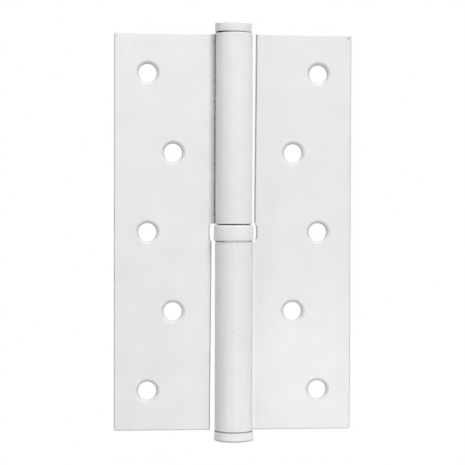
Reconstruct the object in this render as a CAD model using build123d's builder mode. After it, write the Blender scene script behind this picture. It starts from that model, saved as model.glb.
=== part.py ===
"""Lift-off hinge, opened flat: two folded sheet leaves, a pin, a ball bearing ring and two caps.

Sizes are in millimetres. +Z runs up the pin, +X to the right, and -Y points at whoever faces
the countersunk side of the open hinge. The origin is on the pin's axis at mid-height.
"""

import math
import os

from build123d import *

# Leaves, both cut and folded from the same blank
sheet_thickness = 2.5
leaf_height = 125.0
leaf_width = 37.5  # from the pin's axis to the leaf's outer edge
closed_gap = 3.0  # between the countersunk faces when the hinge is shut
leaf_corner_radius = 0.6
leaf_edge_radius = 0.35
fold_inner_radius = 0.75  # where the plate steps back to meet the knuckle
roll_seam_gap = 0.25  # between the rolled end and the plate it comes back to
roll_corner_radius = 0.8  # on both corners of the rolled end

# Pin and knuckles
pin_diameter = 6.6
pin_running_clearance = 0.05
pin_tip_gap = 3.7  # between the pin's tip and the top cap's plug
pin_tip_chamfer = 1.0
pin_foot_chamfer = 0.4
pin_relief_height = 1.5  # free length above the pressed length
knuckle_spacing = 5.45  # between the two knuckles, filled by the bearing

# Inner edge of a leaf, cut a little askew beside the other leaf's knuckle
relief_at_bearing = 0.96
relief_at_end = 1.36
notch_depth = 0.64
notch_height = 5.2
notch_bow = 0.15  # how far the notch's side curves back at its ends
notch_step_slant = 0.8  # height over which the notch runs out to the edge
notch_radius = 0.9
notch_radius_limit = 0.45  # share of the notch's height that the radius may take

# Screw holes: three in the outer row, two in the inner one, all evenly staggered
hole_pitch = 25.0
outer_row = 27.0
inner_row = 19.0
hole_diameter = 5.8
countersink_diameter = 7.7
countersink_angle = 90.0

# Bearing between the knuckles
shell_diameter = 12.55
shell_wall = 0.5
shell_taper = 0.12  # how much smaller its radius is at the crimped upper rim
shell_corner_radius = 0.65
chamber_chamfer = 0.3  # inside corners of the shell and the races that sit in them
shell_lip_overlap = 0.55  # how far each crimped lip reaches over a race's rim
race_stand_off = 0.3  # upper race above the shell, so that the knuckle rides on it alone
race_clearance = 0.06  # between the turning race and the still pieces round it
ball_diameter = 1.588
ball_count = 12
ball_play = 0.02
groove_depth = 0.35
cage_thickness = 0.5
cage_side_clearance = 0.12
pocket_clearance = 0.05

# Caps in the outer ends of the knuckles
top_cap_radius = 5.7
top_cap_height = 2.7
top_cap_edge_radius = 0.15
top_cap_shift = 0.1  # how far the loose cap sits to the left
bottom_cap_height = 3.0
bottom_cap_overhang = 0.25  # past the knuckle, at the cap's upper rim
bottom_cap_flare = 0.2  # how far the cap's lower rim stands out past its upper one
bottom_cap_rim_radius = 0.5
bottom_cap_shift = 0.25  # how far the cap's head sits to the right of its plug
cap_seat_chamfer = 0.15
plug_length = 6.0
plug_chamfer = 0.6
top_plug_clearance = 0.31
top_plug_contact_gap = 0.03  # left at the leaning plug's foot

# Derived sizes of the leaves
half_height = leaf_height / 2
setback = closed_gap / 2
sheet_middle = setback + sheet_thickness / 2
leaf_back = setback + sheet_thickness
pin_radius = pin_diameter / 2
bore_radius = pin_radius + pin_running_clearance
knuckle_radius = bore_radius + sheet_thickness
roll_radius = bore_radius + sheet_thickness / 2
fold_radius = fold_inner_radius + sheet_thickness / 2
fold_y = sheet_middle + fold_radius
fold_x = math.sqrt((roll_radius + fold_radius) ** 2 - fold_y**2)
fold_angle = math.degrees(math.atan2(fold_y, fold_x))
roll_end_angle = math.degrees(math.asin((setback - roll_seam_gap) / knuckle_radius))
knuckle_height = (leaf_height - knuckle_spacing) / 2
lower_knuckle_top = -half_height + knuckle_height
upper_knuckle_foot = half_height - knuckle_height
relief_x = knuckle_radius + relief_at_bearing
relief_end_x = knuckle_radius + relief_at_end

# Derived sizes of the bearing
shell_height = knuckle_spacing - race_stand_off
shell_radius = shell_diameter / 2
shell_bottom = lower_knuckle_top
shell_top = shell_bottom + shell_height
chamber_radius = shell_radius - shell_wall
lip_radius = chamber_radius - shell_lip_overlap
ball_radius = ball_diameter / 2
ball_plane = (shell_bottom + shell_top) / 2
pitch_radius = (bore_radius + chamber_radius) / 2
groove_radius = ball_radius + ball_play
race_face_offset = groove_radius - groove_depth


def leaf_section() -> Face:
    """Section of a leaf through its knuckle: plate, step back, roll and rolled end."""
    with BuildSketch() as section:
        with BuildLine():
            Line((leaf_width, setback), (fold_x, setback))
            CenterArc((fold_x, fold_y), fold_radius + sheet_thickness / 2, 270, fold_angle - 90)
            CenterArc((0, 0), bore_radius, fold_angle, 360 + roll_end_angle - fold_angle)
            Line(
                Vector(bore_radius, 0).rotate(Axis.Z, roll_end_angle),
                Vector(knuckle_radius, 0).rotate(Axis.Z, roll_end_angle),
            )
            CenterArc((0, 0), knuckle_radius, fold_angle, 360 + roll_end_angle - fold_angle)
            CenterArc((fold_x, fold_y), fold_inner_radius, 270, fold_angle - 90)
            Line((fold_x, leaf_back), (leaf_width, leaf_back))
            Line((leaf_width, leaf_back), (leaf_width, setback))
        make_face()
    return section.sketch


def folded_leaf() -> Part:
    """One leaf with its knuckle in the lower half and its plate to the right."""
    countersunk_face = Plane(origin=(0, setback, 0), x_dir=(1, 0, 0), z_dir=(0, -1, 0))
    rows = [(outer_row, step * hole_pitch) for step in (-2, 0, 2)]
    rows += [(inner_row, step * hole_pitch) for step in (-1, 1)]
    notch_x = relief_x + notch_depth
    notch_end_x = notch_x - notch_bow
    notch_side_top = lower_knuckle_top + notch_height - notch_step_slant / 2
    with BuildPart() as leaf:
        with BuildSketch(Plane.XY.offset(-half_height)):
            add(leaf_section())
        extrude(amount=leaf_height)
        with BuildSketch(countersunk_face) as cut_out:
            with BuildLine():
                ThreePointArc(
                    (notch_end_x, lower_knuckle_top),
                    (notch_x, (lower_knuckle_top + notch_side_top) / 2),
                    (notch_end_x, notch_side_top),
                )
                Polyline(
                    (notch_end_x, notch_side_top),
                    (relief_x, notch_side_top + notch_step_slant),
                    (relief_end_x, half_height),
                    (relief_end_x, leaf_height),
                    (-leaf_width, leaf_height),
                    (-leaf_width, lower_knuckle_top),
                    (notch_end_x, lower_knuckle_top),
                )
            make_face()
            corner = cut_out.vertices().sort_by_distance((notch_end_x, lower_knuckle_top))[0]
            fillet(corner, min(notch_radius, notch_radius_limit * notch_height))
        extrude(amount=leaf_width, both=True, mode=Mode.SUBTRACT)

        upright = leaf.edges().filter_by(Axis.Y)
        fillet(upright.group_by(Axis.X)[-1], leaf_corner_radius)
        across_rolled_end = Axis((0, 0, 0), Vector(1, 0).rotate(Axis.Z, roll_end_angle))
        fillet(leaf.edges().filter_by(across_rolled_end), roll_corner_radius)

        front_rim = leaf.faces().filter_by(Axis.Y).group_by(Axis.Y)[0].edges()
        back_rim = leaf.faces().filter_by(Axis.Y).group_by(Axis.Y)[-1].edges()
        fillet(
            (front_rim + back_rim).filter_by_position(Axis.X, knuckle_radius, leaf_width),
            leaf_edge_radius,
        )
        with Locations(countersunk_face.location):
            with Locations(*rows):
                CounterSinkHole(
                    hole_diameter / 2,
                    countersink_diameter / 2,
                    depth=sheet_thickness,
                    counter_sink_angle=countersink_angle,
                )
    return leaf.part


def finish(part: Part, label: str) -> None:
    """Name a finished piece and write its file."""
    part.label = label
    export_step(part, f"parts/{label}.step")
    print(f"{label}: {part.volume:.2f} mm3, valid {part.is_valid}")


def race(collar_radius: float, rim_radius: float, collar_height: float, rim_height: float) -> Part:
    """A race standing on its collar at Z = 0, with the ball groove in its top face."""
    with BuildPart() as ring:
        with BuildSketch(Plane.XZ) as ring_section:
            with BuildLine():
                Polyline(
                    (bore_radius, 0),
                    (collar_radius, 0),
                    (collar_radius, collar_height),
                    (rim_radius, collar_height),
                    (rim_radius, collar_height + rim_height),
                    (bore_radius, collar_height + rim_height),
                    close=True,
                )
            make_face()
            rim_foot = ring_section.vertices().group_by(Axis.X)[-1].sort_by(Axis.Y)[0]
            chamfer(rim_foot, chamber_chamfer)
            with Locations((pitch_radius, collar_height + rim_height + race_face_offset)):
                Circle(groove_radius, mode=Mode.SUBTRACT)
        revolve(axis=Axis.Z)
    return ring.part


os.makedirs("parts", exist_ok=True)

with BuildPart() as frame_leaf:
    add(folded_leaf())
finish(frame_leaf.part, "frame_leaf")

# The door leaf is the same blank, turned half way round the hinge's horizontal axis
with BuildPart() as door_leaf:
    add(folded_leaf().rotate(Axis.Y, 180))
finish(door_leaf.part, "door_leaf")

# The pin is pressed into the lower knuckle and runs in the upper one
pin_foot = -half_height + plug_length
pin_press_top = lower_knuckle_top - pin_relief_height
pin_top = half_height - plug_length - pin_tip_gap
with BuildPart() as hinge_pin:
    with BuildSketch(Plane.XY.offset(pin_foot)):
        Circle(bore_radius)
    extrude(amount=pin_press_top - pin_foot)
    with BuildSketch(Plane.XY.offset(pin_press_top)):
        Circle(pin_radius)
    extrude(amount=pin_top - pin_press_top)
    rims = hinge_pin.edges().filter_by(GeomType.CIRCLE).group_by(Axis.Z)
    chamfer(rims[0], pin_foot_chamfer)
    chamfer(rims[-1], pin_tip_chamfer)
finish(hinge_pin.part, "hinge_pin")

# The shell is one thin sleeve, crimped over both races with a lip at each end
chamber_bottom = shell_bottom + shell_wall
chamber_top = shell_top - shell_wall
with BuildPart() as bearing_shell:
    with BuildSketch(Plane.XZ) as shell_section:
        with BuildLine():
            Polyline(
                (lip_radius, shell_bottom),
                (shell_radius, shell_bottom),
                (shell_radius, ball_plane),
                (shell_radius - shell_taper, shell_top),
                (lip_radius, shell_top),
                (lip_radius, chamber_top),
                (chamber_radius - chamber_chamfer, chamber_top),
                (chamber_radius, chamber_top - chamber_chamfer),
                (chamber_radius, chamber_bottom + chamber_chamfer),
                (chamber_radius - chamber_chamfer, chamber_bottom),
                (lip_radius, chamber_bottom),
                close=True,
            )
        make_face()
        rims = [(shell_radius, shell_bottom), (shell_radius - shell_taper, shell_top)]
        fillet([shell_section.vertices().sort_by_distance(rim)[0] for rim in rims], shell_corner_radius)
    revolve(axis=Axis.Z)
finish(bearing_shell.part, "bearing_shell")

# Races, the lower one held by the shell and the upper one free to turn with the door leaf
race_rim_height = (shell_height - 2 * shell_wall) / 2 - race_face_offset
with BuildPart() as lower_race:
    add(race(lip_radius, chamber_radius, shell_wall, race_rim_height).translate((0, 0, shell_bottom)))
finish(lower_race.part, "lower_race")

with BuildPart() as upper_race:
    upper = race(
        lip_radius - race_clearance,
        chamber_radius - race_clearance,
        shell_wall + race_stand_off + race_clearance,
        race_rim_height - race_clearance,
    )
    add(upper.rotate(Axis.X, 180).translate((0, 0, upper_knuckle_foot)))
finish(upper_race.part, "upper_race")

# Cage, one flat ring with a pocket for each ball
with BuildPart() as ball_cage:
    with BuildSketch(Plane.XY.offset(ball_plane - cage_thickness / 2)):
        Circle(chamber_radius - cage_side_clearance)
        Circle(pin_radius + cage_side_clearance, mode=Mode.SUBTRACT)
        with PolarLocations(pitch_radius, ball_count):
            Circle(ball_radius + pocket_clearance, mode=Mode.SUBTRACT)
    extrude(amount=cage_thickness)
finish(ball_cage.part, "ball_cage")

for index, place in enumerate(PolarLocations(pitch_radius, ball_count).locations, start=1):
    with BuildPart() as ball:
        with Locations(Location((0, 0, ball_plane)) * place):
            Sphere(ball_radius)
    finish(ball.part, f"bearing_ball_{index:02d}")


def cap(
    seat_radius: float,
    crown_radius: float,
    height: float,
    edge_radius: float,
    plug_radius: float,
    head_shift: float = 0.0,
) -> Part:
    """A cap whose plug hangs below Z = 0 on the Z axis, with its head on top, head_shift to the right."""
    with BuildPart() as piece:
        with BuildSketch(Plane.XZ) as head:
            with BuildLine():
                Polyline(
                    (0, 0),
                    (seat_radius - cap_seat_chamfer, 0),
                    (seat_radius, cap_seat_chamfer),
                    (crown_radius, height),
                    (0, height),
                    close=True,
                )
            make_face()
            crown = head.vertices().group_by(Axis.Y)[-1].sort_by(Axis.X)[-1]
            fillet(crown, edge_radius)
        revolve(axis=Axis.Z)
        with BuildSketch():
            with Locations((-head_shift, 0)):
                Circle(plug_radius)
        extrude(amount=-plug_length)
        chamfer(piece.faces().sort_by(Axis.Z)[0].edges(), plug_chamfer)
    return piece.part.translate((head_shift, 0, 0))


# The top cap is a loose fit and leans, so that its head rests on the knuckle at the right
cap_foot_play = top_plug_clearance - top_cap_shift - top_plug_contact_gap
cap_lean = math.degrees(math.atan(cap_foot_play / plug_length))
cap_rise = (top_cap_radius - cap_seat_chamfer) * math.sin(math.radians(cap_lean))
with BuildPart() as top_cap:
    upright_cap = cap(
        top_cap_radius, top_cap_radius, top_cap_height, top_cap_edge_radius, bore_radius - top_plug_clearance
    )
    add(upright_cap.rotate(Axis.Y, cap_lean).translate((-top_cap_shift, 0, half_height + cap_rise)))
finish(top_cap.part, "top_cap")

with BuildPart() as bottom_cap:
    flared_cap = cap(
        knuckle_radius + bottom_cap_overhang,
        knuckle_radius + bottom_cap_overhang + bottom_cap_flare,
        bottom_cap_height,
        bottom_cap_rim_radius,
        bore_radius,
        bottom_cap_shift,
    )
    add(flared_cap.rotate(Axis.X, 180).translate((0, 0, -half_height)))
finish(bottom_cap.part, "bottom_cap")
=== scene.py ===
"""Dresses the lift-off hinge in Blender: coated leaves and caps, steel inside, soft studio light.

Lengths are written in millimetres and turned into Blender's metres by MM, apart from those of
the lamps and the floor, which are in metres. The frame is the part's own: +Z runs up the pin, +X
to the right, and -Y points at the camera's side.
"""

import logging
import math
from abc import ABC, abstractmethod
from dataclasses import dataclass
from enum import Enum

import bpy
from mathutils import Matrix, Vector


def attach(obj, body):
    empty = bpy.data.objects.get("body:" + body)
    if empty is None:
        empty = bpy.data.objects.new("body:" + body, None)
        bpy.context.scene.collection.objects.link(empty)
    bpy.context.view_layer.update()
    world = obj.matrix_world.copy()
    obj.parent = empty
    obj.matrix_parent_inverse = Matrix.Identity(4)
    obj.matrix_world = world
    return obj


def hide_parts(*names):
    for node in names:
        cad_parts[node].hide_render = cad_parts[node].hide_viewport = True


MM = 0.001
LOG = logging.getLogger("hinge")

Place = tuple[float, float, float]
Colour = tuple[float, float, float]
Socket = bpy.types.NodeSocket

ALONG_X: Place = (1.0, 0.0, 0.0)
ALONG_Y: Place = (0.0, 1.0, 0.0)
ALONG_Z: Place = (0.0, 0.0, 1.0)
OFF_PIN_AXIS: Place = (1.0, 1.0, 0.0)
OFF_HOLE_AXIS: Place = (1.0, 0.0, 1.0)
NOISE_LOW = 0.3
NOISE_HIGH = 0.7
RUN_SMOOTH_ANGLE = math.radians(60.0)

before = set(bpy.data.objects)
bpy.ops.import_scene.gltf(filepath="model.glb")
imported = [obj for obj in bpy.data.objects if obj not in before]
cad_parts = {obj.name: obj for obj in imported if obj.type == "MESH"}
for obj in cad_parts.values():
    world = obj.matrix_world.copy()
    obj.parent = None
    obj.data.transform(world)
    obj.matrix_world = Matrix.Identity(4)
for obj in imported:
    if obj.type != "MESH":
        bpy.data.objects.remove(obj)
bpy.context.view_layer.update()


class Body(Enum):
    """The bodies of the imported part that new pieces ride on."""

    FRAME_SIDE = "frame_side"
    DOOR_SIDE = "door_side"


class Slot(Enum):
    """Finish names for new pieces, which no piece here uses."""

    LEAF_PAINT = "leaf_paint"
    CAP_PAINT = "cap_paint"
    RING_PAINT = "ring_paint"


class NodeBench:
    """Adds and joins the shader nodes of one material or world."""

    def __init__(self, owner: bpy.types.Material | bpy.types.World) -> None:
        """Start with no nodes.

        Args:
            owner: The material or world that the nodes belong to.
        """
        owner.use_nodes = True
        self.tree = owner.node_tree
        self.tree.nodes.clear()

    def add(self, kind: str, **settings: object) -> bpy.types.Node:
        """Add a node.

        Args:
            kind: The node's type, such as ShaderNodeBump.
            **settings: Attributes to set on it.

        Returns:
            The new node.
        """
        node = self.tree.nodes.new(kind)
        for key, value in settings.items():
            setattr(node, key, value)
        return node

    def join(self, source: Socket, target: Socket) -> None:
        """Link two sockets."""
        self.tree.links.new(source, target)

    def feed(self, target: Socket, value: object) -> None:
        """Give a socket a link or a value.

        Args:
            target: The socket that takes it.
            value: Another socket, or what the target is set to.
        """
        if isinstance(value, Socket):
            self.join(value, target)
        else:
            target.default_value = value

    def places(self, scale: Place = (1.0, 1.0, 1.0)) -> Socket:
        """Object coordinates, stretched along the axes.

        Args:
            scale: Factor along each axis.

        Returns:
            The socket that gives the vector.
        """
        coordinates = self.add("ShaderNodeTexCoord")
        mapping = self.add("ShaderNodeMapping")
        mapping.inputs["Scale"].default_value = scale
        self.join(coordinates.outputs["Object"], mapping.inputs["Vector"])
        return mapping.outputs["Vector"]

    def distance(self, centre: Place, scale: Place = (1.0, 1.0, 1.0)) -> Socket:
        """Distance from a point, with the axes stretched.

        Args:
            centre: The point, in millimetres.
            scale: Factor along each axis, 0 for one that doesn't count.

        Returns:
            The socket that gives the distance in metres.
        """
        measure = self.add("ShaderNodeVectorMath", operation="DISTANCE")
        measure.inputs[1].default_value = tuple(c * s * MM for c, s in zip(centre, scale))
        self.join(self.places(scale), measure.inputs[0])
        return measure.outputs["Value"]

    def off_plane(self, normal: Place, offset: float) -> Socket:
        """Distance from a plane.

        Args:
            normal: The plane's normal.
            offset: How far the plane lies along its normal, in millimetres.

        Returns:
            The socket that gives the distance in metres.
        """
        along = self.add("ShaderNodeVectorMath", operation="DOT_PRODUCT")
        along.inputs[1].default_value = normal
        self.join(self.places(), along.inputs[0])
        return self.size_of(self.math("SUBTRACT", along.outputs["Value"], offset * MM))

    def noise(self, places: Socket, grain: float, detail: float = 2.0) -> Socket:
        """Soft noise of a given grain.

        Args:
            places: The vector that it reads.
            grain: Size of one bump in millimetres.
            detail: Number of finer octaves.

        Returns:
            The socket that gives a factor around one half.
        """
        node = self.add("ShaderNodeTexNoise")
        node.inputs["Scale"].default_value = 1.0 / (grain * MM)
        node.inputs["Detail"].default_value = detail
        self.join(places, node.inputs["Vector"])
        return next(socket for socket in node.outputs if socket.type == "VALUE")

    def stretch(
        self, source: Socket, start: float, end: float, low: float = 0.0, high: float = 1.0
    ) -> Socket:
        """Map a range of values to another one, held at its ends.

        Args:
            source: The value to map.
            start: Value that becomes low.
            end: Value that becomes high.
            low: Result at start.
            high: Result at end.

        Returns:
            The socket that gives the result.
        """
        node = self.add("ShaderNodeMapRange")
        for key, value in (("From Min", start), ("From Max", end), ("To Min", low), ("To Max", high)):
            node.inputs[key].default_value = value
        self.join(source, node.inputs["Value"])
        return node.outputs["Result"]

    def spread(self, noise: Socket, low: float = 0.0, high: float = 1.0) -> Socket:
        """Stretch noise, which keeps near one half, over a whole range."""
        return self.stretch(noise, NOISE_LOW, NOISE_HIGH, low, high)

    def vary(self, noise: Socket, middle: float, swing: float) -> Socket:
        """Let noise move a value up and down about its middle."""
        return self.spread(noise, middle - swing, middle + swing)

    def math(self, operation: str, first: Socket, second: Socket | float) -> Socket:
        """Combine two values.

        Args:
            operation: Name of the Math node's operation.
            first: The first value.
            second: The second value, a socket or a number.

        Returns:
            The socket that gives the result.
        """
        node = self.add("ShaderNodeMath", operation=operation)
        self.join(first, node.inputs[0])
        self.feed(node.inputs[1], second)
        return node.outputs["Value"]

    def size_of(self, value: Socket) -> Socket:
        """The value without its sign."""
        return self.math("ABSOLUTE", value, 0.0)

    def highest(self, values: list[Socket]) -> Socket:
        """Take the highest of several values.

        Args:
            values: One socket or more.

        Returns:
            The socket that gives the highest value.
        """
        result = values[0]
        for value in values[1:]:
            result = self.math("MAXIMUM", result, value)
        return result

    def blend(self, factor: Socket, low: Socket | Colour, high: Socket | Colour) -> Socket:
        """Mix two colours by a factor.

        Args:
            factor: The socket that mixes them.
            low: Colour at 0, as a socket or numbers.
            high: Colour at 1, as a socket or numbers.

        Returns:
            The socket that gives the colour.
        """
        node = self.add("ShaderNodeMix", data_type="RGBA")
        colours = [socket for socket in node.inputs if socket.type == "RGBA"]
        for socket, colour in zip(colours, (low, high)):
            self.feed(socket, (*colour, 1.0) if isinstance(colour, tuple) else colour)
        self.join(factor, node.inputs[0])
        return next(socket for socket in node.outputs if socket.type == "RGBA")

    def bump(self, height: Socket, depth: float, under: Socket | None = None) -> Socket:
        """Turn a height into a normal.

        Args:
            height: The socket that gives the height.
            depth: Height of the relief in millimetres.
            under: A normal that this one lies on.

        Returns:
            The socket that gives the normal.
        """
        node = self.add("ShaderNodeBump")
        node.inputs["Distance"].default_value = depth * MM
        self.join(height, node.inputs["Height"])
        if under is not None:
            self.join(under, node.inputs["Normal"])
        return node.outputs["Normal"]

    def surface(self, **values: object) -> None:
        """Add the shader and the output.

        Args:
            **values: Sockets or values for the shader's own sockets, with _ for each space.
        """
        shader = self.add("ShaderNodeBsdfPrincipled")
        output = self.add("ShaderNodeOutputMaterial")
        self.join(shader.outputs["BSDF"], output.inputs["Surface"])
        for key, value in values.items():
            self.feed(shader.inputs[key.replace("_", " ")], value)

    def seen_rays(self) -> Socket:
        """Tell the rays that see a background from those that light the object.

        Returns:
            The socket that gives 1 for a ray from the camera, through glass or off a mirror.
        """
        path = self.add("ShaderNodeLightPath")
        rays = ("Is Camera Ray", "Is Transmission Ray", "Is Glossy Ray")
        return self.highest([path.outputs[ray] for ray in rays])


class CoatBench(NodeBench):
    """A bench for a coat, with the two lengths that its painted shade and marks are measured by."""

    ragged_grain = 0.6
    ragged_depth = 0.1

    def __init__(self, material: bpy.types.Material) -> None:
        """Measure the distance from the pin's axis and make a small uneven length.

        Args:
            material: The coat's material.
        """
        super().__init__(material)
        self.off_axis = self.distance((0.0, 0.0, 0.0), OFF_PIN_AXIS)
        noise = self.noise(self.places(), self.ragged_grain)
        self.ragged = self.vary(noise, 0.0, self.ragged_depth * MM)

    def roughen(self, distance: Socket, share: float = 1.0) -> Socket:
        """Add a share of the uneven length to a distance."""
        return self.math("ADD", distance, self.math("MULTIPLY", self.ragged, share))


class ShadeOrMark(ABC):
    """A place where painted shade, or a dark speck, darkens the coat."""

    @abstractmethod
    def mask(self, bench: CoatBench) -> Socket:
        """Show how strongly the near-black colour is mixed into the coat.

        Args:
            bench: The coat's bench.

        Returns:
            The socket that gives 0 on the plain coat and up to 1 at the full near-black colour.
        """


@dataclass(frozen=True)
class ShadedInside(ShadeOrMark):
    """Painted shade inside a rolled or crimped piece: the bore, and the end faces in the gaps beside
    the sleeve and caps.
    """

    radius: float
    fade: float = 0.2

    def mask(self, bench: CoatBench) -> Socket:
        """Painted shade nearer to the pin's axis than the radius."""
        inner = self.radius * MM - self.fade * MM
        return bench.stretch(bench.roughen(bench.off_axis), self.radius * MM, inner)


@dataclass(frozen=True)
class Crevice(ShadeOrMark):
    """Painted shade in the corner between knuckle and sheet."""

    inner: float
    full_to: float
    outer: float
    strength: float
    unevenness: float
    full_after: float = 0.055

    def mask(self, bench: CoatBench) -> Socket:
        """A band beside the knuckle, sharp on its inner side and uneven on the outer one.

        Args:
            bench: The coat's bench.

        Returns:
            The socket that gives the mask.
        """
        full_from = (self.inner + self.full_after) * MM
        rise = bench.stretch(bench.off_axis, self.inner * MM, full_from)
        away = bench.roughen(bench.off_axis, self.unevenness)
        fall = bench.stretch(away, self.full_to * MM, self.outer * MM, self.strength, 0.0)
        return bench.math("MULTIPLY", rise, fall)


@dataclass(frozen=True)
class Flank(ShadeOrMark):
    """Painted shade on the knuckle's own side beside the sheet, darker towards the corner."""

    side: float
    depth: float = 0.25
    strength: float = 0.45
    fade: float = 0.05

    def mask(self, bench: CoatBench) -> Socket:
        """A strip along the knuckle's outermost line, on the knuckle only.

        Args:
            bench: The coat's bench.

        Returns:
            The socket that gives the mask.
        """
        away = bench.distance((self.side, 0.0, 0.0), ALONG_X)
        strip = bench.stretch(away, self.depth * MM, 0.0, 0.0, self.strength)
        radius = abs(self.side) * MM
        within = bench.stretch(bench.off_axis, radius + self.fade * MM, radius)
        return bench.math("MULTIPLY", strip, within)


@dataclass(frozen=True)
class Crack(ShadeOrMark):
    """Painted shade in a ring round the pin's axis, along a seam between two pieces or under a
    rounded rim.
    """

    height: float
    half_width: float
    strength: float
    strength_at_left: float
    reach: float = 7.0
    fade: float = 0.05
    full_share: float = 0.4
    unevenness: float = 0.6
    left_to: float = 1.3
    right_from: float = 3.8

    def mask(self, bench: CoatBench) -> Socket:
        """An uneven ring of painted shade whose strength changes from its left end, where less light
        falls, to the rest.

        Args:
            bench: The coat's bench.

        Returns:
            The socket that gives the mask.
        """
        level = bench.distance((0.0, 0.0, self.height), ALONG_Z)
        away = bench.roughen(level, self.unevenness)
        full = self.full_share * self.half_width * MM
        line = bench.stretch(away, self.half_width * MM, full)
        within = bench.stretch(bench.off_axis, self.reach * MM, (self.reach - self.fade) * MM)
        from_left = bench.distance((-self.reach, 0.0, 0.0), ALONG_X)
        left, right = self.left_to * MM, self.right_from * MM
        strength = bench.stretch(from_left, left, right, self.strength_at_left, self.strength)
        return bench.math("MULTIPLY", bench.math("MULTIPLY", line, within), strength)


@dataclass(frozen=True)
class Edge(ShadeOrMark):
    """Painted shade along a straight edge of the sheet."""

    normal: Place
    offset: float
    middle: Place
    half_length: float
    strength: float = 0.3
    width: float = 0.42
    full_share: float = 0.6
    fade: float = 0.3

    def mask(self, bench: CoatBench) -> Socket:
        """A straight line of the edge's length.

        Args:
            bench: The coat's bench.

        Returns:
            The socket that gives the mask.
        """
        away = bench.off_plane(self.normal, self.offset)
        full = self.full_share * self.width * MM
        line = bench.stretch(away, self.width * MM, full, 0.0, self.strength)
        along = bench.distance(self.middle)
        within = bench.stretch(along, self.half_length * MM, (self.half_length - self.fade) * MM)
        return bench.math("MULTIPLY", line, within)


@dataclass(frozen=True)
class Rim(ShadeOrMark):
    """Painted shade on the sharp edge between a countersink and its bore."""

    across: float
    height: float
    radius: float = 2.9
    depth: float = 2.45
    strength: float = 0.42
    strength_below: float = 0.08
    width: float = 0.75
    full_share: float = 0.5
    weak_to: float = 0.2
    full_from: float = 1.9

    def mask(self, bench: CoatBench) -> Socket:
        """A ring round the bore that is weak at its foot, where the light falls on it.

        Args:
            bench: The coat's bench.

        Returns:
            The socket that gives the mask.
        """
        radial = bench.distance((self.across, 0.0, self.height), OFF_HOLE_AXIS)
        aside = bench.size_of(bench.math("SUBTRACT", radial, self.radius * MM))
        away = bench.math("ADD", aside, bench.distance((0.0, self.depth, 0.0), ALONG_Y))
        line = bench.stretch(away, self.width * MM, self.full_share * self.width * MM)
        above_foot = bench.distance((0.0, 0.0, self.height - self.radius), ALONG_Z)
        weak, full = self.weak_to * MM, self.full_from * MM
        strength = bench.stretch(above_foot, weak, full, self.strength_below, self.strength)
        return bench.math("MULTIPLY", line, strength)


@dataclass(frozen=True)
class Speck(ShadeOrMark):
    """A small dark mark: a mark in the coat, or painted shade at a rounded corner."""

    centre: Place
    radius: float
    strength: float
    full_share: float = 0.4
    unevenness: float = 0.8

    def mask(self, bench: CoatBench) -> Socket:
        """An uneven dot.

        Args:
            bench: The coat's bench.

        Returns:
            The socket that gives the mask.
        """
        away = bench.roughen(bench.distance(self.centre), self.unevenness)
        full = self.full_share * self.radius * MM
        return bench.stretch(away, self.radius * MM, full, 0.0, self.strength)


@dataclass(frozen=True)
class PowderCoat:
    """White satin powder coat with a fine orange peel, with painted shade in corners, seams, edges
    and gaps and a painted light band beside the knuckle.
    """

    name: str
    shade_and_marks: tuple[ShadeOrMark, ...] = ()
    painted_light_band: tuple[float, float] | None = None
    light: Colour = (0.80, 0.80, 0.80)
    dark: Colour = (0.77, 0.77, 0.77)
    # Near-black colour of the painted shade and of the dark specks.
    shade_and_mark_colour: Colour = (0.045, 0.043, 0.042)
    # Colour of the painted light band beside the knuckle.
    painted_light_colour: Colour = (0.91, 0.91, 0.91)
    painted_light_fade: float = 0.03
    refraction: float = 1.5
    cloud_grain: float = 9.0
    roughness: float = 0.23
    roughness_swing: float = 0.04
    gloss_grain: float = 2.5
    fine_grain: float = 0.25
    fine_depth: float = 0.003
    peel_grain: float = 1.1
    peel_depth: float = 0.012

    def material(self) -> bpy.types.Material:
        """Make the material.

        Returns:
            The material.
        """
        material = bpy.data.materials.new(self.name)
        bench = CoatBench(material)
        places = bench.places()
        clouds = bench.spread(bench.noise(places, self.cloud_grain))
        colour = bench.blend(clouds, self.dark, self.light)
        # Painted light: a lighter band on the sheet beside the knuckle, lifting the shade that the
        # knuckle throws there.
        if self.painted_light_band:
            inner, outer = (radius * MM for radius in self.painted_light_band)
            off_knuckle = bench.stretch(bench.off_axis, inner, inner + self.painted_light_fade * MM)
            near_knuckle = bench.stretch(bench.off_axis, outer, inner)
            painted_light = bench.math("MULTIPLY", off_knuckle, near_knuckle)
            colour = bench.blend(painted_light, colour, self.painted_light_colour)
        # Painted shade in seams, corners, edges and gaps, and dark specks, mixed towards one
        # near-black colour.
        if self.shade_and_marks:
            shade_and_marks_mask = bench.highest([shade_or_mark.mask(bench) for shade_or_mark in self.shade_and_marks])
            colour = bench.blend(shade_and_marks_mask, colour, self.shade_and_mark_colour)
        patches = bench.noise(places, self.gloss_grain)
        gloss = bench.vary(patches, self.roughness, self.roughness_swing)
        fine = bench.bump(bench.noise(places, self.fine_grain), self.fine_depth)
        peel = bench.bump(bench.noise(places, self.peel_grain), self.peel_depth, fine)
        bench.surface(Base_Color=colour, Roughness=gloss, Normal=peel, IOR=self.refraction)
        return material


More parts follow.
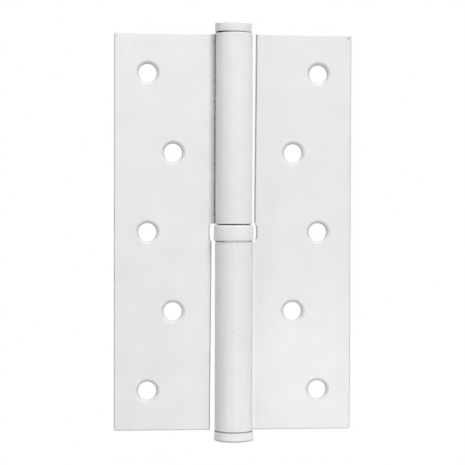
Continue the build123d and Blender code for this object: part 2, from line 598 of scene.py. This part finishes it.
@dataclass(frozen=True)
class TurnedSteel:
    """Steel with fine marks that run round the pin's axis."""

    name: str
    light: Colour = (0.58, 0.57, 0.56)
    dark: Colour = (0.50, 0.49, 0.48)
    roughness: float = 0.30
    roughness_swing: float = 0.04
    mark_grain: float = 4.0
    mark_stretch: float = 40.0
    mark_detail: float = 4.0
    mark_depth: float = 0.001

    def material(self) -> bpy.types.Material:
        """Make the material.

        Returns:
            The material.
        """
        material = bpy.data.materials.new(self.name)
        bench = NodeBench(material)
        places = bench.places((1.0, 1.0, self.mark_stretch))
        marks = bench.noise(places, self.mark_grain, self.mark_detail)
        colour = bench.blend(bench.spread(marks), self.dark, self.light)
        gloss = bench.vary(marks, self.roughness, self.roughness_swing)
        relief = bench.bump(marks, self.mark_depth)
        bench.surface(Base_Color=colour, Roughness=gloss, Normal=relief, Metallic=1.0)
        return material


@dataclass(frozen=True)
class BallSteel:
    """Polished bearing steel under a film of grease."""

    name: str
    clean: Colour = (0.68, 0.68, 0.67)
    greased: Colour = (0.50, 0.47, 0.41)
    clean_roughness: float = 0.08
    greased_roughness: float = 0.22
    smear_grain: float = 0.5
    smear_detail: float = 3.0
    clean_to: float = 0.4
    greased_from: float = 0.6

    def material(self) -> bpy.types.Material:
        """Make the material.

        Returns:
            The material.
        """
        material = bpy.data.materials.new(self.name)
        bench = NodeBench(material)
        noise = bench.noise(bench.places(), self.smear_grain, self.smear_detail)
        smear = bench.stretch(noise, self.clean_to, self.greased_from)
        colour = bench.blend(smear, self.clean, self.greased)
        gloss = bench.stretch(smear, 0.0, 1.0, self.clean_roughness, self.greased_roughness)
        bench.surface(Base_Color=colour, Roughness=gloss, Metallic=1.0)
        return material


@dataclass(frozen=True)
class Nylon:
    """Moulded nylon of the ball cage."""

    name: str
    light: Colour = (0.62, 0.60, 0.54)
    dark: Colour = (0.55, 0.53, 0.47)
    dark_roughness: float = 0.42
    light_roughness: float = 0.55
    translucence: float = 0.1
    scatter_depth: float = 0.5
    flow_grain: float = 1.8
    skin_grain: float = 0.15
    skin_depth: float = 0.004

    def material(self) -> bpy.types.Material:
        """Make the material.

        Returns:
            The material.
        """
        material = bpy.data.materials.new(self.name)
        bench = NodeBench(material)
        places = bench.places()
        flow = bench.spread(bench.noise(places, self.flow_grain))
        gloss = bench.stretch(flow, 0.0, 1.0, self.dark_roughness, self.light_roughness)
        bench.surface(
            Base_Color=bench.blend(flow, self.dark, self.light),
            Roughness=gloss,
            Normal=bench.bump(bench.noise(places, self.skin_grain), self.skin_depth),
            Subsurface_Weight=self.translucence,
            Subsurface_Scale=self.scatter_depth * MM,
        )
        return material


def dress(node: str, material: bpy.types.Material) -> None:
    """Give a CAD node a material.

    Args:
        node: The node's name.
        material: What it is made of.
    """
    for material_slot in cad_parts[node].material_slots:
        material_slot.material = material
    LOG.info("%s is dressed in %s", node, material.name)


def place_round_pin(angle: float, radius: float, height: float) -> Vector:
    """Find a place at an angle round the pin.

    Args:
        angle: Angle from the front in degrees.
        radius: Distance from the pin's axis in millimetres.
        height: Height in millimetres.

    Returns:
        The place in metres.
    """
    turn = math.radians(angle)
    return Vector((math.sin(turn) * radius, -math.cos(turn) * radius, height)) * MM


class Lathe:
    """Shapes a piece that is round about the pin's axis."""

    steps = 144
    tolerance = 0.01
    merge_distance = 0.001
    end_border = 0.5
    smooth_angle = 35.0

    def __init__(self, name: str, rings: list[tuple[float, float]]) -> None:
        """Extrude a circle through rings, one after the other.

        Args:
            name: The piece's name.
            rings: Radius and height of each ring in millimetres.
        """
        bpy.ops.object.select_all(action="DESELECT")
        radius, height = rings[0]
        bpy.ops.mesh.primitive_circle_add(
            vertices=self.steps, radius=radius * MM, location=(0.0, 0.0, height * MM)
        )
        self.piece = bpy.context.object
        self.piece.name = name
        bpy.ops.object.transform_apply()
        bpy.ops.object.mode_set(mode="EDIT")
        bpy.ops.mesh.select_all(action="SELECT")
        for (radius, height), (next_radius, next_height) in zip(rings, rings[1:]):
            grow = next_radius / radius
            bpy.ops.mesh.extrude_edges_move(
                TRANSFORM_OT_translate={"value": (0.0, 0.0, (next_height - height) * MM)}
            )
            bpy.ops.transform.resize(
                value=(grow, grow, 1.0), center_override=(0.0, 0.0, next_height * MM)
            )
        bpy.ops.mesh.select_all(action="SELECT")
        bpy.ops.mesh.remove_doubles(threshold=self.merge_distance * MM)
        bpy.ops.object.mode_set(mode="OBJECT")

    def is_on_ring(self, place: Vector, radius: float, height: float) -> bool:
        """Tell whether a vertex lies on a ring.

        Args:
            place: The vertex's place in metres.
            radius: The ring's radius in millimetres.
            height: The ring's height in millimetres.

        Returns:
            Whether it lies there.
        """
        aside = abs(place.xy.length / MM - radius)
        off_level = abs(place.z / MM - height)
        return aside < self.tolerance and off_level < self.tolerance

    def pick_ring(self, radius: float, height: float) -> None:
        """Select the edges of one ring.

        Args:
            radius: The ring's radius in millimetres.
            height: The ring's height in millimetres.
        """
        mesh = self.piece.data
        for part in (mesh.polygons, mesh.edges, mesh.vertices):
            part.foreach_set("select", [False] * len(part))
        near = {
            vertex.index for vertex in mesh.vertices if self.is_on_ring(vertex.co, radius, height)
        }
        for edge in mesh.edges:
            edge.select = edge.vertices[0] in near and edge.vertices[1] in near
        for vertex in mesh.vertices:
            vertex.select = vertex.index in near

    def close_ring(self, radius: float, height: float) -> None:
        """Fill a ring with a flat face that has a narrow border.

        Args:
            radius: The ring's radius in millimetres.
            height: The ring's height in millimetres.
        """
        self.pick_ring(radius, height)
        bpy.ops.object.mode_set(mode="EDIT")
        bpy.ops.mesh.edge_face_add()
        bpy.ops.mesh.inset(thickness=self.end_border * MM)
        bpy.ops.object.mode_set(mode="OBJECT")

    def round_ring(self, radius: float, height: float, size: float, segments: int = 6) -> None:
        """Round the edge that a ring makes.

        Args:
            radius: The ring's radius in millimetres.
            height: The ring's height in millimetres.
            size: Radius of the rounding in millimetres.
            segments: Number of steps in it.
        """
        self.pick_ring(radius, height)
        bpy.ops.object.mode_set(mode="EDIT")
        bpy.ops.mesh.bevel(offset=size * MM, segments=segments, affect="EDGES")
        bpy.ops.object.mode_set(mode="OBJECT")

    def finish(self) -> bpy.types.Object:
        """Turn the faces outwards and shade them smooth.

        Returns:
            The piece.
        """
        bpy.ops.object.mode_set(mode="EDIT")
        bpy.ops.mesh.select_all(action="SELECT")
        bpy.ops.mesh.normals_make_consistent(inside=False)
        bpy.ops.object.mode_set(mode="OBJECT")
        bpy.ops.object.shade_smooth_by_angle(angle=math.radians(self.smooth_angle))
        return self.piece


def ripple(
    piece: bpy.types.Object, group: str, weights: dict[int, float], grain: float, depth: float
) -> None:
    """Make part of a surface uneven.

    Args:
        piece: The piece to change.
        group: Name of the vertex group to make.
        weights: How much each vertex takes part.
        grain: Size of one wave in millimetres.
        depth: Height of the waves in millimetres.
    """
    members = piece.vertex_groups.new(name=group)
    for index, weight in weights.items():
        members.add([index], weight, "REPLACE")
    clouds = bpy.data.textures.new(group, "CLOUDS")
    clouds.noise_scale = grain * MM
    clouds.noise_depth = 1
    waves = piece.modifiers.new(group, "DISPLACE")
    waves.texture = clouds
    waves.texture_coords = "LOCAL"
    waves.vertex_group = group
    waves.strength = 2.0 * depth * MM
    waves.mid_level = 0.5
    bpy.context.view_layer.objects.active = piece
    bpy.ops.object.modifier_apply(modifier=group)


@dataclass
class Sleeve:
    """The thin sleeve that is crimped over both races."""

    outer_radius: float = 6.275
    crimped_radius: float = 6.155
    bottom: float = -2.725
    top: float = 2.425
    lip_radius: float = 5.225
    chamber_radius: float = 5.775
    wall: float = 0.5
    corner: float = 0.65
    lip_corner: float = 0.08
    lip_segments: int = 2
    crease_height: float = 0.25
    crease_reach: float = 0.4
    crease_grain: float = 0.9
    crease_depth: float = 0.06
    coat: PowderCoat = PowderCoat(
        "sleeve_coat",
        (
            # Painted shade in the gap under the upper knuckle and along the lower seam.
            ShadedInside(5.85),
            Crack(height=-2.725, half_width=0.3, strength=0.5, strength_at_left=0.9),
        ),
    )

    def build(self) -> None:
        """Make the sleeve."""
        lathe = Lathe(
            "crimped_sleeve",
            [
                (self.lip_radius, self.bottom),
                (self.outer_radius, self.bottom),
                (self.outer_radius, (self.bottom + self.top) / 2),
                (self.crimped_radius, self.top),
                (self.lip_radius, self.top),
                (self.lip_radius, self.top - self.wall),
                (self.chamber_radius, self.top - self.wall),
                (self.chamber_radius, self.bottom + self.wall),
                (self.lip_radius, self.bottom + self.wall),
                (self.lip_radius, self.bottom),
            ],
        )
        lathe.round_ring(self.outer_radius, self.bottom, self.corner)
        lathe.round_ring(self.crimped_radius, self.top, self.corner)
        for height in (self.top, self.bottom):
            lathe.round_ring(self.lip_radius, height, self.lip_corner, self.lip_segments)
        sleeve = lathe.finish()
        self.crease_lower_rim(sleeve)
        sleeve.data.materials.append(self.coat.material())
        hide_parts("bearing_shell")
        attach(sleeve, Body.FRAME_SIDE.value)
        LOG.info("crimped_sleeve replaces bearing_shell")

    def crease_lower_rim(self, sleeve: bpy.types.Object) -> None:
        """Make the rounded lower rim a little uneven.

        Args:
            sleeve: The finished sleeve.
        """
        weights = {}
        for vertex in sleeve.data.vertices:
            off_crease = abs(vertex.co.z / MM - self.bottom - self.crease_height)
            weight = 1.0 - off_crease / self.crease_reach
            if weight > 0.0 and vertex.co.xy.length / MM > self.chamber_radius:
                weights[vertex.index] = weight
        ripple(sleeve, "lower_rim", weights, self.crease_grain, self.crease_depth)


@dataclass
class SeamPaint:
    """Paint that ran into the seam under the sleeve and stands there as an uneven bead."""

    path_radius: float = 5.92
    height: float = -2.84
    start: float = -35.0
    end: float = 48.0
    thickness: float = 0.16
    end_share: float = 0.15
    taper: float = 9.0
    steps: int = 83
    sides: int = 12
    lump_grain: float = 1.1
    lump_height: float = 0.09

    def thickness_at(self, angle: float) -> float:
        """Radius of the bead in millimetres, which thins towards both ends."""
        whole = min(1.0, min(angle - self.start, self.end - angle) / self.taper)
        return self.thickness * (self.end_share + (1.0 - self.end_share) * whole)

    def place_at(self, angle: float) -> Vector:
        """Middle of the bead at an angle from the front."""
        return place_round_pin(angle, self.path_radius, self.height)

    def build(self, paint: bpy.types.Material) -> None:
        """Draw a small circle along the seam.

        Args:
            paint: Its coat.
        """
        bpy.ops.object.select_all(action="DESELECT")
        bpy.ops.mesh.primitive_circle_add(
            vertices=self.sides,
            radius=self.thickness_at(self.start) * MM,
            location=self.place_at(self.start),
            rotation=(0.0, math.pi / 2, math.radians(self.start)),
        )
        bead = bpy.context.object
        bead.name = "seam_paint"
        bpy.ops.object.transform_apply()
        bpy.ops.object.mode_set(mode="EDIT")
        bpy.ops.mesh.select_all(action="SELECT")
        bpy.ops.mesh.edge_face_add()
        step = (self.end - self.start) / self.steps
        for number in range(self.steps):
            angle = self.start + number * step
            swell = self.thickness_at(angle + step) / self.thickness_at(angle)
            bpy.ops.mesh.extrude_region_move()
            bpy.ops.transform.rotate(
                value=-math.radians(step), orient_axis="Z", center_override=(0.0, 0.0, 0.0)
            )
            bpy.ops.transform.resize(
                value=(swell, swell, swell), center_override=self.place_at(angle + step)
            )
        bpy.ops.mesh.select_all(action="SELECT")
        bpy.ops.mesh.normals_make_consistent(inside=False)
        bpy.ops.object.mode_set(mode="OBJECT")
        weights = {vertex.index: 1.0 for vertex in bead.data.vertices}
        ripple(bead, "lumps", weights, self.lump_grain, self.lump_height)
        bpy.ops.object.shade_smooth_by_angle(angle=RUN_SMOOTH_ANGLE)
        bead.data.materials.append(paint)
        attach(bead, Body.FRAME_SIDE.value)
        LOG.info("seam_paint lies in the sleeve's lower seam")


@dataclass
class PaintDrop:
    """A drop of paint that dried on the lower end of the upper knuckle."""

    name: str
    angle: float
    size: Place = (0.22, 0.12, 0.14)
    path_radius: float = 5.78
    height: float = 2.68
    segments: int = 16
    rings: int = 8

    def build(self, paint: bpy.types.Material) -> None:
        """Hang the drop.

        Args:
            paint: Its coat.
        """
        bpy.ops.object.select_all(action="DESELECT")
        bpy.ops.mesh.primitive_uv_sphere_add(
            segments=self.segments,
            ring_count=self.rings,
            radius=MM,
            location=place_round_pin(self.angle, self.path_radius, self.height),
            rotation=(0.0, 0.0, math.radians(self.angle)),
        )
        drop = bpy.context.object
        drop.name = self.name
        drop.scale = self.size
        bpy.ops.object.transform_apply()
        bpy.ops.object.shade_smooth_by_angle(angle=RUN_SMOOTH_ANGLE)
        drop.data.materials.append(paint)
        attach(drop, Body.DOOR_SIDE.value)
        LOG.info("%s hangs on the upper knuckle", self.name)


@dataclass
class Cap:
    """A cap with a round head and a plug that goes into the knuckle."""

    name: str
    node: str
    body: Body
    coat: PowderCoat
    seat_radius: float
    crown_radius: float
    height: float
    edge: float
    plug_radius: float
    seat: float
    lean: float = 0.0
    shift: float = 0.0
    head_shift: float = 0.0
    head_margin: float = 0.3
    turned_over: bool = False
    seat_corner: float = 0.15
    seat_segments: int = 3
    plug_length: float = 6.0
    plug_corner: float = 0.4
    plug_segments: int = 2

    def build(self) -> None:
        """Make the cap."""
        lathe = Lathe(
            self.name,
            [
                (self.plug_radius, -self.plug_length),
                (self.plug_radius, 0.0),
                (self.seat_radius, 0.0),
                (self.crown_radius, self.height),
            ],
        )
        lathe.close_ring(self.plug_radius, -self.plug_length)
        lathe.close_ring(self.crown_radius, self.height)
        lathe.round_ring(self.crown_radius, self.height, self.edge)
        lathe.round_ring(self.seat_radius, 0.0, self.seat_corner, self.seat_segments)
        lathe.round_ring(self.plug_radius, -self.plug_length, self.plug_corner, self.plug_segments)
        piece = lathe.finish()
        self.offset_head(piece)
        self.put_in_place(piece)
        piece.data.materials.append(self.coat.material())
        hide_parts(self.node)
        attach(piece, self.body.value)
        LOG.info("%s replaces %s", self.name, self.node)

    def offset_head(self, piece: bpy.types.Object) -> None:
        """Move the head a little off the plug's axis.

        Args:
            piece: The upright cap.
        """
        foot = -Lathe.tolerance * MM
        plug_zone = (self.plug_radius + self.head_margin) * MM
        for vertex in piece.data.vertices:
            vertex.select = vertex.co.z > foot and vertex.co.xy.length > plug_zone
        bpy.ops.object.mode_set(mode="EDIT")
        bpy.ops.transform.translate(value=(self.head_shift * MM, 0.0, 0.0))
        bpy.ops.object.mode_set(mode="OBJECT")

    def put_in_place(self, piece: bpy.types.Object) -> None:
        """Turn the cap over or lean it, set it on the knuckle and apply that.

        Args:
            piece: The upright cap.
        """
        turn = math.pi if self.turned_over else 0.0
        piece.rotation_euler = (turn, math.radians(self.lean), 0.0)
        piece.location = (-self.shift * MM, 0.0, self.seat * MM)
        bpy.ops.object.select_all(action="DESELECT")
        piece.select_set(True)
        bpy.context.view_layer.objects.active = piece
        bpy.ops.object.transform_apply()


@dataclass
class Leaf:
    """A folded leaf, which keeps its CAD shape."""

    node: str
    side: float
    crevice: Crevice
    painted_light_width: float
    cracks: tuple[Crack, ...]
    specks: tuple[Speck, ...]
    knuckle_radius: float = 5.85
    shaded_inside_depth: float = 0.25
    painted_light_start: float = 0.35
    width: float = 37.5
    half_height: float = 62.5
    middle_depth: float = 2.75
    foot_middle: float = 22.0
    foot_half_length: float = 16.0
    inner_offset: float = 6.79
    inner_slope: float = 0.00672
    inner_middle: float = 7.0
    inner_strength: float = 0.5
    corner_margin: float = 1.5
    notch_offset: float = 7.42
    notch_half_height: float = 2.6
    notch_strength: float = 0.4
    hole_pitch: float = 25.0
    outer_row: float = 27.0
    inner_row: float = 19.0

    def edges(self) -> tuple[Edge, ...]:
        """Edges with painted shade: outer, lower, inner and the notch's; the lit top edge has none.

        Returns:
            The edges.
        """
        depth = self.middle_depth
        outer = self.side * self.width
        foot = -self.half_height
        notch = self.side * self.notch_offset
        half_inner = self.half_height / 2 - self.corner_margin
        inner_height = self.side * (self.half_height - half_inner)
        inner_place = (self.side * self.inner_middle, depth, inner_height)
        return (
            Edge(ALONG_X, outer, (outer, depth, 0.0), self.half_height),
            Edge(ALONG_Z, foot, (self.side * self.foot_middle, depth, foot), self.foot_half_length),
            Edge(
                (1.0, 0.0, -self.inner_slope),
                self.side * self.inner_offset,
                inner_place,
                half_inner,
                self.inner_strength,
            ),
            Edge(ALONG_X, notch, (notch, depth, 0.0), self.notch_half_height, self.notch_strength),
        )

    def rims(self) -> tuple[Rim, ...]:
        """Bore edges of the five screw holes.

        Returns:
            The rims.
        """
        rows = [(self.outer_row, step) for step in (-2, 0, 2)]
        rows += [(self.inner_row, step) for step in (-1, 1)]
        return tuple(Rim(self.side * row, self.side * step * self.hole_pitch) for row, step in rows)

    def build(self) -> None:
        """Dress the leaf."""
        # Painted shade in the bore and gaps, in the corner with the sheet, on the knuckle's flank, in
        # the seams, on the sheet's edges and on the bore rims, with the leaf's dark specks.
        shade_and_marks = (
            ShadedInside(self.knuckle_radius - self.shaded_inside_depth),
            self.crevice,
            Flank(self.side * self.knuckle_radius),
            *self.cracks,
            *self.edges(),
            *self.rims(),
            *self.specks,
        )
        # Painted light in a band beside the knuckle.
        painted_light_band = (self.knuckle_radius + self.painted_light_start, self.knuckle_radius + self.painted_light_width)
        dress(self.node, PowderCoat(f"{self.node}_coat", shade_and_marks, painted_light_band).material())


FRAME_LEAF = Leaf(
    node="frame_leaf",
    side=1.0,
    crevice=Crevice(inner=5.855, full_to=6.25, outer=6.38, strength=0.60, unevenness=0.35),
    painted_light_width=2.2,
    cracks=(
        Crack(height=-2.725, half_width=0.2, strength=0.1, strength_at_left=0.6, reach=5.9),
        Crack(height=-62.5, half_width=0.3, strength=0.45, strength_at_left=0.65, reach=5.9),
    ),
    specks=(
        Speck((36.45, 1.5, 61.45), 0.45, 0.60),
        Speck((35.6, 1.5, 57.0), 0.28, 0.18),
        Speck((29.8, 1.5, 55.7), 0.28, 0.15),
        Speck((23.5, 1.5, -28.9), 0.28, 0.14),
        Speck((15.9, 1.5, -45.7), 0.28, 0.12),
        Speck((13.9, 1.5, 49.5), 0.28, 0.15),
        Speck((13.3, 1.5, -44.4), 0.28, 0.14),
        Speck((9.5, 1.5, 32.2), 0.28, 0.15),
        # Painted shade at the leaf's rounded top inner corner.
        Speck((7.7, 1.5, 62.0), 0.30, 0.50),
        Speck((0.7, -5.81, -3.8), 0.22, 0.45),
        Speck((-0.8, -5.8, -31.0), 0.30, 0.34),
        Speck((-2.0, -5.5, -44.8), 0.28, 0.14),
    ),
)

DOOR_LEAF = Leaf(
    node="door_leaf",
    side=-1.0,
    # Darker painted shade on the left leaf, which lies in the knuckle's shadow.
    crevice=Crevice(inner=5.855, full_to=6.10, outer=6.33, strength=0.92, unevenness=1.0),
    painted_light_width=2.8,
    cracks=(Crack(height=62.5, half_width=0.2, strength=0.2, strength_at_left=0.9, reach=5.7),),
    specks=(
        # Painted shade at the leaf's rounded top outer corner.
        Speck((-36.7, 1.5, 61.5), 0.40, 0.35),
        Speck((-35.5, 1.5, 55.3), 0.30, 0.18),
        Speck((-30.8, 1.5, 59.1), 0.30, 0.15),
        Speck((-37.0, 1.5, 5.4), 0.25, 0.25),
        Speck((-36.9, 1.5, -15.2), 0.35, 0.22),
        Speck((-36.9, 1.5, -20.0), 0.35, 0.22),
        Speck((-36.9, 1.5, -25.4), 0.35, 0.20),
        Speck((-37.0, 1.5, -28.3), 0.35, 0.22),
        Speck((-26.8, 1.5, -9.2), 0.30, 0.12),
        Speck((-21.8, 1.5, 52.6), 0.25, 0.13),
        Speck((-13.9, 1.5, 38.0), 0.28, 0.16),
        Speck((-2.5, -5.29, 51.1), 0.30, 0.26),
    ),
)

TOP_CAP = Cap(
    name="domed_top_cap",
    node="top_cap",
    body=Body.DOOR_SIDE,
    coat=PowderCoat(
        "top_cap_coat",
        (
            Crack(height=62.74, half_width=0.22, strength=0.1, strength_at_left=1.0, reach=6.0),
            Speck((-2.5, -5.2, 63.1), 0.3, 0.4),
        ),
    ),
    seat_radius=5.79,
    crown_radius=5.79,
    height=2.7,
    edge=0.15,
    plug_radius=3.04,
    seat=62.70,
    lean=0.95,
    shift=0.1,
    head_shift=-0.145,
)

BOTTOM_CAP = Cap(
    name="flared_bottom_cap",
    node="bottom_cap",
    body=Body.FRAME_SIDE,
    coat=PowderCoat(
        "bottom_cap_coat",
        (
            Crack(height=-62.5, half_width=0.3, strength=0.45, strength_at_left=0.65),
            # Painted shade on the cap's lower rounded rim, which faces down.
            Crack(height=-65.5, half_width=0.7, strength=0.45, strength_at_left=0.5),
        ),
    ),
    seat_radius=6.1,
    crown_radius=6.3,
    height=3.0,
    edge=0.5,
    plug_radius=3.35,
    seat=-62.5,
    head_shift=0.2,
    turned_over=True,
)


@dataclass
class Inside:
    """The pin and the bearing's inner parts, which keep their CAD shapes."""

    ball_count: int = 12
    pin_steel: TurnedSteel = TurnedSteel("turned_steel")
    # Near-black race steel, which paints the shade in the gaps above and below the sleeve.
    race_steel: TurnedSteel = TurnedSteel(
        "shade_black_race_steel", light=(0.05, 0.049, 0.047), dark=(0.025, 0.024, 0.023)
    )

    def build(self) -> None:
        """Dress them."""
        dress("hinge_pin", self.pin_steel.material())
        shade_black = self.race_steel.material()
        for node in ("lower_race", "upper_race"):
            dress(node, shade_black)
        dress("ball_cage", Nylon("cage_nylon").material())
        polished = BallSteel("ball_steel").material()
        for number in range(1, self.ball_count + 1):
            dress(f"bearing_ball_{number:02d}", polished)


@dataclass
class Runs:
    """The paint that ran before it dried: a bead in the sleeve's lower seam and two drops."""

    drop_angles: tuple[float, ...] = (-57.0, 25.5)

    def build(self) -> None:
        """Make the bead and the drops in one paint."""
        paint = PowderCoat("run_paint").material()
        SeamPaint().build(paint)
        for number, angle in enumerate(self.drop_angles, start=1):
            PaintDrop(f"paint_drop_{number}", angle).build(paint)


@dataclass
class Viewpoint:
    """The camera, placed as the photograph's was."""

    place: Place = (-47.05, -503.1, 13.18)
    yaw: float = 5.304
    pitch: float = -1.495
    roll: float = 0.167
    focal_length: float = 124.4
    sensor: float = 36.0
    near_limit: float = 10.0

    def build(self) -> None:
        """Make the camera and set it as the scene's own."""
        yaw, pitch, roll = (math.radians(angle) for angle in (self.yaw, self.pitch, self.roll))
        level = math.cos(pitch)
        forward = Vector((math.sin(yaw) * level, math.cos(yaw) * level, math.sin(pitch)))
        right = Vector((math.cos(yaw), -math.sin(yaw), 0.0))
        up = right.cross(forward)
        across = right * math.cos(roll) + up * math.sin(roll)
        above = up * math.cos(roll) - right * math.sin(roll)
        turn = Matrix((across, above, -forward)).transposed()
        bpy.ops.object.camera_add(location=Vector(self.place) * MM, rotation=turn.to_euler())
        camera = bpy.context.object
        camera.name = "photo_camera"
        camera.data.lens = self.focal_length
        camera.data.sensor_width = self.sensor
        camera.data.clip_start = self.near_limit * MM
        bpy.context.scene.camera = camera


@dataclass(frozen=True)
class Lamp:
    """A soft square lamp aimed at the middle of the hinge."""

    name: str
    azimuth: float
    elevation: float
    distance: float
    size: float
    strength: float

    def build(self) -> None:
        """Hang the lamp."""
        azimuth = math.radians(self.azimuth)
        elevation = math.radians(self.elevation)
        level = math.cos(elevation)
        way = Vector((math.sin(azimuth) * level, -math.cos(azimuth) * level, math.sin(elevation)))
        bpy.ops.object.light_add(
            type="AREA",
            location=way * self.distance,
            rotation=way.to_track_quat("Z", "Y").to_euler(),
        )
        lamp = bpy.context.object
        lamp.name = self.name
        lamp.data.size = self.size
        lamp.data.energy = self.strength
        lamp.visible_camera = False


@dataclass
class Studio:
    """Soft light, white surroundings and a pale floor."""

    lamps: tuple[Lamp, ...] = (
        Lamp("key_lamp", 26.0, 45.0, 0.9, 0.18, 4.165),
        Lamp("far_key_lamp", 24.5, 47.5, 1.8, 0.38, 6.27),
        Lamp("left_lamp", -65.0, 15.0, 0.9, 0.30, 0.2675),
        Lamp("high_right_lamp", 60.0, 70.0, 0.9, 0.30, 0.3025),
        Lamp("near_left_lamp", -60.0, 30.0, 0.4, 0.10, 0.1655),
        Lamp("near_high_lamp", -30.0, 55.0, 0.3, 0.10, 0.0887),
        Lamp("near_low_left_lamp", -35.0, -20.0, 0.4, 0.10, 0.1023),
        Lamp("low_right_lamp", 37.0, -56.0, 0.133, 0.03, 0.0100),
        Lamp("low_card", 11.9, -14.0, 0.3165, 0.055, 0.0192),
        Lamp("low_inner_card", 8.9, -11.9, 0.31, 0.04, 0.0101),
        Lamp("high_card", -5.5, 15.5, 0.3125, 0.06, 0.0024),
        Lamp("back_lamp", 172.0, 35.0, 0.9, 0.30, 3.9),
    )
    world_strength: float = 0.1
    floor_colour: Colour = (0.8, 0.8, 0.8)
    floor_drop: float = 0.14
    floor_size: float = 6.0

    def build(self) -> None:
        """Make the lamps, the world and the floor."""
        bpy.context.scene.view_settings.view_transform = "Standard"
        self.light_world()
        for lamp in self.lamps:
            lamp.build()
        self.lay_floor()

    def light_world(self) -> None:
        """White to the camera, through glass and in mirrors, and dimmer as a light."""
        world = bpy.data.worlds.new("white_studio")
        bpy.context.scene.world = world
        bench = NodeBench(world)
        background = bench.add("ShaderNodeBackground")
        output = bench.add("ShaderNodeOutputWorld")
        background.inputs["Color"].default_value = (1.0, 1.0, 1.0, 1.0)
        strength = bench.stretch(bench.seen_rays(), 0.0, 1.0, self.world_strength, 1.0)
        bench.join(strength, background.inputs["Strength"])
        bench.join(background.outputs["Background"], output.inputs["Surface"])

    def lay_floor(self) -> None:
        """Lay the floor under the hinge."""
        floor_place = (0.0, 0.0, -self.floor_drop)
        bpy.ops.mesh.primitive_plane_add(size=self.floor_size, location=floor_place)
        floor = bpy.context.object
        floor.name = "floor"
        material = bpy.data.materials.new("pale_floor")
        bench = NodeBench(material)
        glow = bench.add("ShaderNodeEmission")
        paint = bench.add("ShaderNodeBsdfDiffuse")
        mix = bench.add("ShaderNodeMixShader")
        output = bench.add("ShaderNodeOutputMaterial")
        paint.inputs["Color"].default_value = (*self.floor_colour, 1.0)
        bench.join(bench.seen_rays(), mix.inputs["Fac"])
        bench.join(paint.outputs["BSDF"], mix.inputs[1])
        bench.join(glow.outputs["Emission"], mix.inputs[2])
        bench.join(mix.outputs["Shader"], output.inputs["Surface"])
        floor.data.materials.append(material)


def main() -> None:
    """Build the scene."""
    logging.basicConfig(level=logging.INFO, format="%(name)s: %(message)s")
    bpy.ops.object.select_all(action="DESELECT")
    hinge = (FRAME_LEAF, DOOR_LEAF, Inside(), Sleeve(), Runs(), TOP_CAP, BOTTOM_CAP)
    for assembly in (Viewpoint(), Studio(), *hinge):
        assembly.build()


if __name__ == "__main__":
    main()
